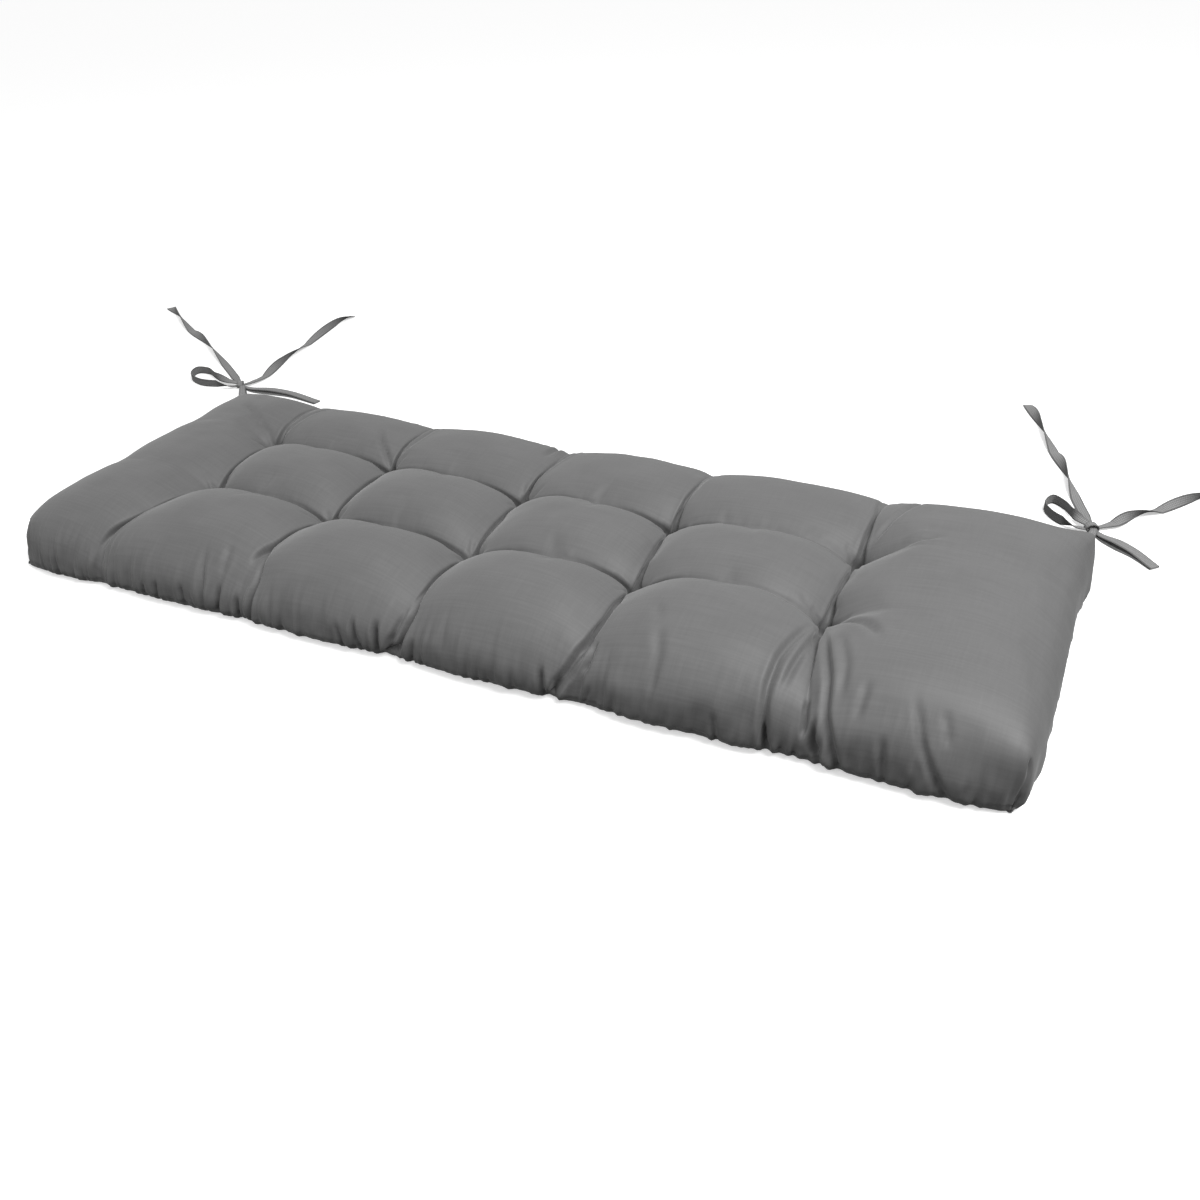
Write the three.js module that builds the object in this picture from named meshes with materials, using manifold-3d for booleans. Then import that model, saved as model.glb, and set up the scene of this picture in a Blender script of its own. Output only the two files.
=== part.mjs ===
// Tufted bench cushion with a tape bow at each of its two back corners.
// Millimetres, +Z up. The origin is the middle of the underside, which lies on the surface at z = 0.
// +X runs along the bench and +Y to the back, the side that the ties are on.

import * as THREE from 'three';
import { mergeVertices } from 'three/addons/utils/BufferGeometryUtils.js';
import Module from 'manifold-3d';

// Driving dimensions of the cushion
const LENGTH = 1300;
const DEPTH = 455;
const TUFT_HEIGHT = 46;
const CORNER_HEIGHT = 69;
const RIM_HEIGHT = 70;

// How the cover runs off the mounds: a larger power keeps a mound full and its crease narrow
const CREASE_POWER = 2.7;
const RIM_POWER = 2.3;

// The rim stands out between two creases and at the left end, the tie draws the right back corner out,
// and the wall bellies out below the rim
const RIM_BOW = 9;
const END_BOW = 6;
const CORNER_DRAW = { out: 12, reachX: 200, reachY: 70 };
const WALL_BELLY = 11;
const CREASE_DRAW_IN = 0.45;
const WALL_ROWS = 6;
const FOOT_ROUND = 5;

// The underside is pulled up at each tuft
const DIMPLE_RADIUS = 34;
const DIMPLE_DEPTH = 12;
const DIMPLE_SIDES = 14;
const DIMPLE_RINGS = 3;

// Steps across one mound
const STEPS_X = 12;
const STEPS_Y = 10;

// Tie tapes
const TAPE_WIDTH = 15;
const TAPE_THICKNESS = 1.2;
const LAYER = 1.5;
const STEPS_PER_ROW = 6;
const SEAM_GAP = 0.3;
const KNOT_WIDTH = 14;
const KNOT_HEIGHT = 6;

// One row for each line of tufts across the cushion, from left to right: where its crease meets the
// front rim, the front tuft, the back tuft, and where the crease meets the back rim.
const TUFT_LINES = [
  { frontX: -500, frontTuft: [-457, -58], backTuft: [-478, 92], backX: -481 },
  { frontX: -262, frontTuft: [-254, -70], backTuft: [-266, 87], backX: -270 },
  { frontX: -36, frontTuft: [-32, -80], backTuft: [-44, 72], backX: -40 },
  { frontX: 188, frontTuft: [186, -74], backTuft: [173, 69], backX: 177 },
  { frontX: 432, frontTuft: [407, -65], backTuft: [407, 76], backX: 412 },
];

// Height of each crease half way along, between two tufts or between a tuft and the rim, and the height
// at which it meets the front and the back rim
const LINE_CREASES = [
  { front: 72, middle: 70, back: 82, frontEnd: 58, backEnd: 70 },
  { front: 70, middle: 62, back: 76, frontEnd: 57, backEnd: 69 },
  { front: 64, middle: 60, back: 69, frontEnd: 56, backEnd: 64 },
  { front: 66, middle: 62, back: 79, frontEnd: 57, backEnd: 69 },
  { front: 74, middle: 62, back: 75, frontEnd: 58, backEnd: 70 },
];

// One row for each column of mounds, from left to right: the crest of its three mounds, and the height
// half way along the two creases that part them.
const MOUNDS = [
  { front: 93, middle: 92, back: 89, frontCrease: 90, backCrease: 89 },
  { front: 97, middle: 95, back: 86, frontCrease: 72, backCrease: 70 },
  { front: 98, middle: 97, back: 85, frontCrease: 70, backCrease: 70 },
  { front: 99, middle: 97, back: 87, frontCrease: 79, backCrease: 75 },
  { front: 100, middle: 98, back: 90, frontCrease: 88, backCrease: 81 },
  { front: 99, middle: 97, back: 93, frontCrease: 96, backCrease: 93 },
];

// Corners of the rim and of the foot, where the wall meets the surface
const RIM_X = LENGTH / 2 - 4;
const RIM_Y = DEPTH / 2 - 6;
const FOOT = {
  frontLeft: [-654, -243],
  frontRight: [640, -230],
  backLeft: [-648, 222],
  backRight: [647, 222],
};

const FABRIC = new THREE.MeshStandardMaterial({ color: 0x6f6f6f, roughness: 0.75, metalness: 0 });
const TAPE = new THREE.MeshStandardMaterial({ color: 0x8a8a8a, roughness: 0.85, metalness: 0 });

const lerp = THREE.MathUtils.lerp;

// The net of crease crossings: four lines from front to back, each with seven nodes from left to right
function creaseNet() {
  const front = [[-RIM_X, -RIM_Y, CORNER_HEIGHT]];
  const frontTufts = [[-RIM_X, -RIM_Y / 3, RIM_HEIGHT]];
  const backTufts = [[-RIM_X, RIM_Y / 3, RIM_HEIGHT]];
  const back = [[-RIM_X, RIM_Y, CORNER_HEIGHT]];
  for (const [n, line] of TUFT_LINES.entries()) {
    front.push([line.frontX, -RIM_Y + RIM_BOW / 2, LINE_CREASES[n].frontEnd]);
    frontTufts.push([...line.frontTuft, TUFT_HEIGHT]);
    backTufts.push([...line.backTuft, TUFT_HEIGHT]);
    back.push([line.backX, RIM_Y - RIM_BOW / 2, LINE_CREASES[n].backEnd]);
  }
  front.push([RIM_X, -RIM_Y, CORNER_HEIGHT]);
  frontTufts.push([RIM_X, -RIM_Y / 3, RIM_HEIGHT]);
  backTufts.push([RIM_X, RIM_Y / 3, RIM_HEIGHT]);
  back.push([RIM_X, RIM_Y, CORNER_HEIGHT]);
  return [front, frontTufts, backTufts, back];
}

// Height half way along each side of a mound, and how its surface runs off to that side
function moundSides(column, row) {
  const rowName = ['front', 'middle', 'back'][row];
  const rim = { mid: RIM_HEIGHT, power: RIM_POWER };
  const crease = (mid) => ({ mid, power: CREASE_POWER });
  const mound = MOUNDS[column];
  return {
    crest: mound[rowName],
    left: column === 0 ? rim : crease(LINE_CREASES[column - 1][rowName]),
    right: column === MOUNDS.length - 1 ? rim : crease(LINE_CREASES[column][rowName]),
    front: row === 0 ? rim : crease(row === 1 ? mound.frontCrease : mound.backCrease),
    back: row === 2 ? rim : crease(row === 1 ? mound.backCrease : mound.frontCrease),
  };
}

// A point of the top panel. s and t run from -1 to 1 over one mound, left to right and front to back.
function topPoint(net, column, row, s, t) {
  const a = (s + 1) / 2;
  const b = (t + 1) / 2;
  const blend = (axis) =>
    lerp(
      lerp(net[row][column][axis], net[row][column + 1][axis], a),
      lerp(net[row + 1][column][axis], net[row + 1][column + 1][axis], a),
      b
    );
  const sides = moundSides(column, row);
  const sideS = s < 0 ? sides.left : sides.right;
  const sideT = t < 0 ? sides.front : sides.back;
  const corner = net[t < 0 ? row : row + 1][s < 0 ? column : column + 1][2];
  const runS = Math.abs(s) ** sideS.power;
  const runT = Math.abs(t) ** sideT.power;
  const dropS = sides.crest - sideS.mid;
  const dropT = sides.crest - sideT.mid;
  const dropCorner = sides.crest - corner - dropS - dropT;
  const z = sides.crest - dropS * runS - dropT * runT - dropCorner * runS * runT;
  let x = blend(0);
  let y = blend(1);
  if (row === 0) y -= RIM_BOW * (1 - s * s) * (1 - b) ** 2;
  if (row === 2) y += RIM_BOW * (1 - s * s) * b ** 2;
  if (column === 0) x -= END_BOW * (1 - (y / DEPTH) ** 2 * 4) * (1 - a) ** 2;
  return [x, y, z];
}

// Steps that crowd towards the creases, where the surface turns most
const crowd = (k, steps) => Math.sin((Math.PI / 2) * ((2 * k) / steps - 1));

function topGrid(net) {
  const grid = [];
  for (let j = 0; j <= 3 * STEPS_Y; j++) {
    const row = Math.min(Math.floor(j / STEPS_Y), 2);
    const line = [];
    for (let i = 0; i <= MOUNDS.length * STEPS_X; i++) {
      const column = Math.min(Math.floor(i / STEPS_X), MOUNDS.length - 1);
      const s = crowd(i - column * STEPS_X, STEPS_X);
      const t = crowd(j - row * STEPS_Y, STEPS_Y);
      line.push(topPoint(net, column, row, s, t));
    }
    grid.push(line);
  }
  return grid;
}

// The rim in order, front, right, back and left, with each point's place along its side and its foot
function rimLoop(grid) {
  const last = grid.length - 1;
  const width = grid[0].length - 1;
  const sides = [
    { from: FOOT.frontLeft, to: FOOT.frontRight, out: [0, -1], steps: width },
    { from: FOOT.frontRight, to: FOOT.backRight, out: [1, 0], steps: last },
    { from: FOOT.backRight, to: FOOT.backLeft, out: [0, 1], steps: width },
    { from: FOOT.backLeft, to: FOOT.frontLeft, out: [-1, 0], steps: last },
  ];
  const pick = [
    (k) => grid[0][k],
    (k) => grid[k][width],
    (k) => grid[last][width - k],
    (k) => grid[last - k][0],
  ];
  const loop = [];
  sides.forEach((side, n) => {
    const start = pick[n](0);
    const end = pick[n](side.steps);
    for (let k = 0; k < side.steps; k++) {
      const rim = pick[n](k);
      const along = n % 2 === 0 ? 0 : 1;
      const share = (rim[along] - start[along]) / (end[along] - start[along]);
      const nearCrease = along === 0 ? Math.abs(crowd(k % STEPS_X, STEPS_X)) ** CREASE_POWER : 0;
      const nearCorner = Math.abs(2 * share - 1) ** 6;
      const straight = [lerp(start[0], end[0], share), lerp(start[1], end[1], share)];
      const bow = (rim[0] - straight[0]) * side.out[0] + (rim[1] - straight[1]) * side.out[1];
      const foot = [lerp(side.from[0], side.to[0], share), lerp(side.from[1], side.to[1], share)];
      const belly = WALL_BELLY * (1 - nearCorner) * (1 - CREASE_DRAW_IN * nearCrease);
      loop.push({
        rim,
        foot: [foot[0] + (bow / 2) * side.out[0], foot[1] + (bow / 2) * side.out[1]],
        out: [side.out[0] * belly, side.out[1] * belly],
      });
    }
  });
  return loop;
}

function wallPoint(post, row) {
  const q = row / WALL_ROWS;
  const swell = Math.sin(Math.PI * q);
  const tuck = row === WALL_ROWS ? FOOT_ROUND / DEPTH : 0;
  return [
    (lerp(post.rim[0], post.foot[0], q) + post.out[0] * swell) * (1 - tuck),
    (lerp(post.rim[1], post.foot[1], q) + post.out[1] * swell) * (1 - tuck),
    post.rim[2] * (1 - q),
  ];
}

// The tie draws the right back corner out
function drawCorner([x, y, z]) {
  const along = Math.max(0, (x - RIM_X + CORNER_DRAW.reachX) / CORNER_DRAW.reachX);
  const fromBack = Math.max(0, (RIM_Y - y) / CORNER_DRAW.reachY);
  return [x + CORNER_DRAW.out * along ** 2 * Math.exp(-(fromBack ** 2)), y, z];
}

function cushionGeometry() {
  const positions = [];
  const faces = [];
  const addPoint = (p) => positions.push(...drawCorner(p)) / 3 - 1;
  const addQuad = (a, b, c, d) => faces.push(a, b, c, a, c, d);

  const grid = topGrid(creaseNet());
  const top = grid.map((line) => line.map(addPoint));
  for (let j = 0; j + 1 < top.length; j++) {
    for (let i = 0; i + 1 < top[j].length; i++) {
      addQuad(top[j][i], top[j][i + 1], top[j + 1][i + 1], top[j + 1][i]);
    }
  }

  const loop = rimLoop(grid);
  const rings = [];
  for (let row = 0; row <= WALL_ROWS; row++) rings.push(loop.map((post) => addPoint(wallPoint(post, row))));
  for (let row = 0; row < WALL_ROWS; row++) {
    for (let k = 0; k < loop.length; k++) {
      const next = (k + 1) % loop.length;
      addQuad(rings[row][next], rings[row][k], rings[row + 1][k], rings[row + 1][next]);
    }
  }

  const footRing = rings[WALL_ROWS];
  const flat = (index) => new THREE.Vector2(positions[3 * index], positions[3 * index + 1]);
  const dimples = [];
  for (const line of TUFT_LINES) {
    for (const centre of [line.frontTuft, line.backTuft]) dimples.push(addDimple(centre, addPoint, faces));
  }
  const triangles = THREE.ShapeUtils.triangulateShape(
    footRing.map(flat),
    dimples.map((ring) => ring.map(flat))
  );
  const border = [...footRing, ...dimples.flat()];
  for (const [a, b, c] of triangles) {
    const turn = flat(border[b]).sub(flat(border[a])).cross(flat(border[c]).sub(flat(border[a])));
    if (turn > 0) faces.push(border[a], border[c], border[b]);
    else faces.push(border[a], border[b], border[c]);
  }

  const geometry = new THREE.BufferGeometry();
  geometry.setAttribute('position', new THREE.Float32BufferAttribute(positions, 3));
  geometry.setIndex(faces);
  return mergeVertices(geometry, 1e-3);
}

// A round hollow in the underside, returning the ring of points at its mouth
function addDimple([x, y], addPoint, faces) {
  const rings = [];
  for (let r = 0; r < DIMPLE_RINGS; r++) {
    const share = r / DIMPLE_RINGS;
    const radius = DIMPLE_RADIUS * (1 - share);
    const height = DIMPLE_DEPTH * Math.sin((Math.PI / 2) * share) ** 2;
    const ring = [];
    for (let k = 0; k < DIMPLE_SIDES; k++) {
      const angle = (2 * Math.PI * k) / DIMPLE_SIDES;
      ring.push(addPoint([x + radius * Math.cos(angle), y + radius * Math.sin(angle), height]));
    }
    rings.push(ring);
  }
  const peak = addPoint([x, y, DIMPLE_DEPTH]);
  for (let k = 0; k < DIMPLE_SIDES; k++) {
    const next = (k + 1) % DIMPLE_SIDES;
    for (let r = 0; r + 1 < DIMPLE_RINGS; r++) {
      faces.push(rings[r][k], rings[r + 1][k], rings[r + 1][next]);
      faces.push(rings[r][k], rings[r + 1][next], rings[r][next]);
    }
    faces.push(rings[DIMPLE_RINGS - 1][k], peak, rings[DIMPLE_RINGS - 1][next]);
  }
  return rings[0];
}

// A flat tape along a route. Each row of the route gives the place on the surface, the height of the
// tape's lower edge, how far the tape is rolled about its own run, and its width there. A row of the
// knot is also thicker than the tape.
function tapeGeometry(route, thickness = TAPE_THICKNESS) {
  const curve = new THREE.CatmullRomCurve3(
    route.map((row) => new THREE.Vector3(row.x, row.y, 0)),
    false,
    'centripetal'
  );
  const positions = [];
  const faces = [];
  const steps = (route.length - 1) * STEPS_PER_ROW;
  for (let k = 0; k <= steps; k++) {
    const at = Math.min(Math.floor(k / STEPS_PER_ROW), route.length - 2);
    const share = k / STEPS_PER_ROW - at;
    const roll = THREE.MathUtils.degToRad(lerp(route[at].roll, route[at + 1].roll, share));
    const width = lerp(route[at].width, route[at + 1].width, share);
    const thick = lerp(route[at].thick ?? thickness, route[at + 1].thick ?? thickness, share);
    const point = curve.getPoint(k / steps);
    const run = curve.getTangent(k / steps);
    const side = new THREE.Vector3(-run.y, run.x, 0);
    const across = side.clone().multiplyScalar(Math.cos(roll)).setZ(Math.sin(roll));
    const through = side.clone().multiplyScalar(-Math.sin(roll)).setZ(Math.cos(roll));
    const lift = (Math.abs(Math.sin(roll)) * width + Math.abs(Math.cos(roll)) * thick) / 2;
    point.z = lerp(route[at].level, route[at + 1].level, share) + lift;
    for (const [u, v] of [[-1, -1], [1, -1], [1, 1], [-1, 1]]) {
      const corner = point.clone();
      corner.addScaledVector(across, (u * width) / 2);
      corner.addScaledVector(through, (v * thick) / 2);
      positions.push(corner.x, corner.y, corner.z);
    }
  }
  // The upper face is split along the lower face's diagonal, so that the tape keeps its thickness in a twist
  const UPPER = 2;
  for (let k = 0; k < steps; k++) {
    for (let n = 0; n < 4; n++) {
      const a = 4 * k + n;
      const b = 4 * k + ((n + 1) % 4);
      if (n === UPPER) faces.push(a, b, a + 4, b, b + 4, a + 4);
      else faces.push(a, b, b + 4, a, b + 4, a + 4);
    }
  }
  const end = 4 * steps;
  faces.push(0, 2, 1, 0, 3, 2, end, end + 1, end + 2, end, end + 2, end + 3);
  const geometry = new THREE.BufferGeometry();
  geometry.setAttribute('position', new THREE.Float32BufferAttribute(positions, 3));
  geometry.setIndex(faces);
  return geometry;
}

const FULL = TAPE_WIDTH;
const PINCHED = 8;
const FOLD_THICKNESS = LAYER + TAPE_THICKNESS;
const SEAM_LEVEL = 12;
const OPEN_LEVEL = FOLD_THICKNESS + LAYER / 2;
const KNOT_LEVEL = OPEN_LEVEL + LAYER;
const STEM_LEVEL = LAYER + 0.5;
const LOOP_WIDTH = 14;

// Each tie is two tapes. The flat one has its tail, a flattened loop of two layers and a stem to the
// corner, which meet under the knot. The open one runs from its tail round an open loop, makes the
// knot where it passes over itself, and goes on over the flat one's stem to the corner.
const TIES = {
  left: {
    flatTail: [
      { x: -1290, y: 706, level: 0, roll: 0, width: FULL },
      { x: -1232, y: 670, level: 0, roll: 90, width: FULL },
      { x: -1130, y: 600, level: 0, roll: 180, width: FULL },
      { x: -1033, y: 542, level: 0, roll: 270, width: FULL },
      { x: -915, y: 462, level: 0, roll: 360, width: FULL },
      { x: -855, y: 419, level: 0, roll: 360, width: FULL },
      { x: -825, y: 397, level: 0, roll: 360, width: PINCHED },
      { x: -800, y: 381, level: 0, roll: 360, width: PINCHED },
    ],
    flatLoop: [
      { x: -804, y: 383, level: 0, roll: 0, width: PINCHED },
      { x: -772, y: 376, level: 0, roll: 0, width: 12 },
      { x: -735, y: 379, level: 0, roll: 0, width: FULL },
      { x: -690, y: 381, level: 0, roll: 0, width: FULL },
      { x: -627, y: 370, level: 0, roll: 0, width: FULL },
    ],
    flatStem: [
      { x: -810, y: 386, level: 0, roll: 0, width: PINCHED },
      { x: -790, y: 366, level: 0, roll: 0, width: 12 },
      { x: -745, y: 312, level: 0, roll: 0, width: FULL },
      { x: -690, y: 262, level: 0, roll: 0, width: FULL },
    ],
    openRun: [
      { x: -854, y: 787, level: 0, roll: 0, width: FULL },
      { x: -850, y: 722, level: 0, roll: 90, width: FULL },
      { x: -836, y: 612, level: 0, roll: 180, width: FULL },
      { x: -812, y: 505, level: 0, roll: 270, width: FULL },
      { x: -800, y: 440, level: 1, roll: 360, width: FULL },
      { x: -799, y: 410, level: OPEN_LEVEL, roll: 360, width: 13 },
      { x: -806, y: 389, level: OPEN_LEVEL, roll: 360, width: PINCHED },
      { x: -822, y: 374, level: OPEN_LEVEL, roll: 360, width: PINCHED },
      { x: -850, y: 366, level: 2, roll: 440, width: LOOP_WIDTH },
      { x: -890, y: 366, level: 0, roll: 450, width: LOOP_WIDTH },
      { x: -928, y: 384, level: 0, roll: 450, width: LOOP_WIDTH },
      { x: -938, y: 412, level: 0, roll: 450, width: LOOP_WIDTH },
      { x: -915, y: 416, level: 0, roll: 450, width: LOOP_WIDTH },
      { x: -880, y: 398, level: 1, roll: 450, width: LOOP_WIDTH },
      { x: -845, y: 388, level: OPEN_LEVEL + 1, roll: 380, width: 11 },
      { x: -818, y: 387, level: KNOT_LEVEL, roll: 360, width: KNOT_WIDTH, thick: KNOT_HEIGHT },
      { x: -804, y: 380, level: KNOT_LEVEL, roll: 360, width: KNOT_WIDTH, thick: KNOT_HEIGHT },
      { x: -788, y: 362, level: OPEN_LEVEL, roll: 360, width: 12 },
      { x: -744, y: 311, level: STEM_LEVEL, roll: 360, width: FULL },
      { x: -690, y: 262, level: STEM_LEVEL, roll: 360, width: FULL },
    ],
    sewnAt: FOOT.backLeft,
    away: [-1, 1],
  },
  right: {
    flatTail: [
      { x: 517, y: 760, level: 0, roll: 0, width: FULL },
      { x: 546, y: 678, level: 0, roll: 90, width: FULL },
      { x: 577, y: 590, level: 0, roll: 180, width: FULL },
      { x: 601, y: 518, level: 0, roll: 270, width: FULL },
      { x: 623, y: 446, level: 0, roll: 360, width: FULL },
      { x: 638, y: 402, level: 0, roll: 360, width: FULL },
      { x: 647, y: 378, level: 0, roll: 360, width: PINCHED },
      { x: 655, y: 356, level: 0, roll: 360, width: PINCHED },
    ],
    flatLoop: [
      { x: 652, y: 360, level: 0, roll: 0, width: PINCHED },
      { x: 667, y: 340, level: 0, roll: 0, width: 12 },
      { x: 685, y: 326, level: 0, roll: 0, width: FULL },
      { x: 706, y: 312, level: 0, roll: 0, width: FULL },
      { x: 730, y: 288, level: 0, roll: 0, width: FULL },
    ],
    flatStem: [
      { x: 651, y: 368, level: 0, roll: 0, width: PINCHED },
      { x: 650, y: 346, level: 0, roll: 0, width: 12 },
      { x: 641, y: 302, level: 0, roll: 0, width: FULL },
      { x: 630, y: 262, level: 0, roll: 0, width: FULL },
    ],
    openRun: [
      { x: 802, y: 526, level: 0, roll: 0, width: FULL },
      { x: 767, y: 490, level: 0, roll: 90, width: FULL },
      { x: 728, y: 448, level: 0, roll: 180, width: FULL },
      { x: 696, y: 408, level: 1, roll: 270, width: FULL },
      { x: 676, y: 384, level: 3, roll: 360, width: FULL },
      { x: 662, y: 370, level: OPEN_LEVEL, roll: 360, width: PINCHED },
      { x: 648, y: 359, level: OPEN_LEVEL, roll: 360, width: PINCHED },
      { x: 632, y: 356, level: OPEN_LEVEL, roll: 370, width: 10 },
      { x: 612, y: 364, level: 0, roll: 450, width: LOOP_WIDTH },
      { x: 596, y: 379, level: 0, roll: 450, width: LOOP_WIDTH },
      { x: 586, y: 402, level: 0, roll: 450, width: LOOP_WIDTH },
      { x: 594, y: 423, level: 0, roll: 450, width: LOOP_WIDTH },
      { x: 610, y: 411, level: 0, roll: 450, width: LOOP_WIDTH },
      { x: 623, y: 389, level: 1, roll: 450, width: LOOP_WIDTH },
      { x: 634, y: 375, level: OPEN_LEVEL + 1, roll: 390, width: 11 },
      { x: 648, y: 365, level: KNOT_LEVEL, roll: 360, width: KNOT_WIDTH, thick: KNOT_HEIGHT },
      { x: 653, y: 354, level: KNOT_LEVEL, roll: 360, width: KNOT_WIDTH, thick: KNOT_HEIGHT },
      { x: 651, y: 340, level: OPEN_LEVEL, roll: 360, width: 12 },
      { x: 641, y: 302, level: STEM_LEVEL, roll: 360, width: FULL },
      { x: 630, y: 262, level: STEM_LEVEL, roll: 360, width: FULL },
    ],
    sewnAt: [622, 226.4],
    away: [0, 1],
  },
};

// The end of a stem, sewn at or beside the back corner a little above the surface
function seamEnd({ sewnAt, away }, level, roll) {
  const step = SEAM_GAP / Math.SQRT2;
  return {
    x: sewnAt[0] + away[0] * step,
    y: sewnAt[1] + away[1] * step,
    level: SEAM_LEVEL + level,
    roll,
    width: PINCHED,
  };
}

const wasm = await Module();
wasm.setup();

function solid(geometry) {
  const merged = mergeVertices(geometry, 1e-4);
  return new wasm.Manifold(
    new wasm.Mesh({
      numProp: 3,
      vertProperties: new Float32Array(merged.getAttribute('position').array),
      triVerts: new Uint32Array(merged.getIndex().array),
    })
  );
}

function joined(...geometries) {
  const mesh = geometries.map(solid).reduce((whole, piece) => whole.add(piece)).getMesh();
  const geometry = new THREE.BufferGeometry();
  geometry.setAttribute('position', new THREE.Float32BufferAttribute(mesh.vertProperties, 3));
  geometry.setIndex([...mesh.triVerts]);
  return geometry;
}

function addPart(group, name, geometry, material) {
  const mesh = new THREE.Mesh(geometry, material);
  mesh.name = name;
  group.add(mesh);
}

const cushion = new THREE.Group();
addPart(cushion, 'cushion', cushionGeometry(), FABRIC);
for (const [side, tie] of Object.entries(TIES)) {
  const flatStem = [...tie.flatStem, seamEnd(tie, 0, 0)];
  const openRun = [...tie.openRun, seamEnd(tie, STEM_LEVEL, 360)];
  const flat = joined(
    tapeGeometry(tie.flatTail),
    tapeGeometry(tie.flatLoop, FOLD_THICKNESS),
    tapeGeometry(flatStem)
  );
  addPart(cushion, `tie_${side}_flat_loop`, flat, TAPE);
  addPart(cushion, `tie_${side}_open_loop`, tapeGeometry(openRun), TAPE);
}

export default cushion;
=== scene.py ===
"""Looks of the tufted bench cushion and its two tape bows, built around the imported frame."""

import math

import bmesh
import bpy
import numpy as np
from mathutils import Matrix, Vector, geometry, noise


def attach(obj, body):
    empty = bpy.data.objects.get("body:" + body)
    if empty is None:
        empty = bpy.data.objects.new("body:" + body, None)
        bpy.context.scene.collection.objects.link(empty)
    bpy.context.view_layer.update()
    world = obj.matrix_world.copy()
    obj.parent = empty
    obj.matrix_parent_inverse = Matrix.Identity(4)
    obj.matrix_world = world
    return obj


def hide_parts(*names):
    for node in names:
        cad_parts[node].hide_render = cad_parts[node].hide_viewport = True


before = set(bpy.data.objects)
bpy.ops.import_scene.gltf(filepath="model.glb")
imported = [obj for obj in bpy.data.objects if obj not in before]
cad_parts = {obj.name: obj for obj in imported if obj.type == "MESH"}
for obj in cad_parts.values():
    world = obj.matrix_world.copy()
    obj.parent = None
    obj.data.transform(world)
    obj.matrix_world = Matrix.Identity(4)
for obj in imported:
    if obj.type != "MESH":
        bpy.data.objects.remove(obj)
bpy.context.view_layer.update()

MM = 0.001
scene = bpy.context.scene

# Cushion, in millimetres, as in the part's source, but with a little more belly in the walls
LENGTH = 1300
DEPTH = 455
TUFT_HEIGHT = 46
CORNER_HEIGHT = 69
RIM_HEIGHT = 70
CREASE_POWER = 2.7
RIM_POWER = 2.3
RIM_BOW = 9
END_BOW = 6
CORNER_DRAW = dict(out=12, reach_x=200, reach_y=70)
WALL_BELLY = 14
BELLY_POWER = 6
CREASE_DRAW_IN = 0.45
DIMPLE_RADIUS = 34
DIMPLE_DEPTH = 12
RIM_INSET_X = 4
RIM_INSET_Y = 6
RIM_X = LENGTH / 2 - RIM_INSET_X
RIM_Y = DEPTH / 2 - RIM_INSET_Y
FOOT = {
    "front_left": (-654, -243),
    "front_right": (640, -230),
    "back_left": (-648, 222),
    "back_right": (647, 222),
}

# One row for each line of tufts across the cushion, from left to right
TUFT_LINES = [
    dict(front_x=-500, front_tuft=(-457, -58), back_tuft=(-478, 92), back_x=-481),
    dict(front_x=-262, front_tuft=(-254, -70), back_tuft=(-266, 87), back_x=-270),
    dict(front_x=-36, front_tuft=(-32, -80), back_tuft=(-44, 72), back_x=-40),
    dict(front_x=188, front_tuft=(186, -74), back_tuft=(173, 69), back_x=177),
    dict(front_x=432, front_tuft=(407, -65), back_tuft=(407, 76), back_x=412),
]

# Height of each crease half way along, and where it meets the front and the back rim
LINE_CREASES = [
    dict(front=72, middle=70, back=82, front_end=58, back_end=70),
    dict(front=70, middle=62, back=76, front_end=57, back_end=69),
    dict(front=64, middle=60, back=69, front_end=56, back_end=64),
    dict(front=66, middle=62, back=79, front_end=57, back_end=69),
    dict(front=74, middle=62, back=75, front_end=58, back_end=70),
]

# One row for each column of mounds, from left to right
MOUNDS = [
    dict(front=93, middle=92, back=89, front_crease=90, back_crease=89),
    dict(front=97, middle=95, back=86, front_crease=72, back_crease=70),
    dict(front=98, middle=97, back=85, front_crease=70, back_crease=70),
    dict(front=99, middle=97, back=87, front_crease=79, back_crease=75),
    dict(front=100, middle=98, back=90, front_crease=88, back_crease=81),
    dict(front=99, middle=97, back=93, front_crease=96, back_crease=93),
]
MOUND_ROWS = ("front", "middle", "back")
ROW_CREASES = ("front_crease", "back_crease")
LAST_ROW = len(MOUND_ROWS) - 1
LAST_COLUMN = len(MOUNDS) - 1

# Steps of the cover's mesh, and the form of its corners, foot and underside
STEPS_X = 52
STEPS_Y = 16
CROWD_X = 0.4
CROWD_Y = 0.7
WALL_STEPS = [0, 0.09, 0.19, 0.29, 0.39, 0.5, 0.6, 0.7, 0.78, 0.85, 0.92, 1]
SEAM_STEP = 8
CORNER_ROUND = {"front": 15, "back": 5}
CORNER_KEEP = 45
FOOT_START = 0.78
FOOT_TUCK = 6
UNDER_INSET = 14
UNDER_MARK = -1
DIMPLE_SIDES = 24
DIMPLE_RINGS = 4


def lerp(a, b, share):
    return a + (b - a) * share


def crowd(k, steps, share):
    """Steps from -1 to 1 that crowd a little towards both ends."""
    even = 2 * k / steps - 1
    return lerp(even, math.sin(math.pi / 2 * even), share)


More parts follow.
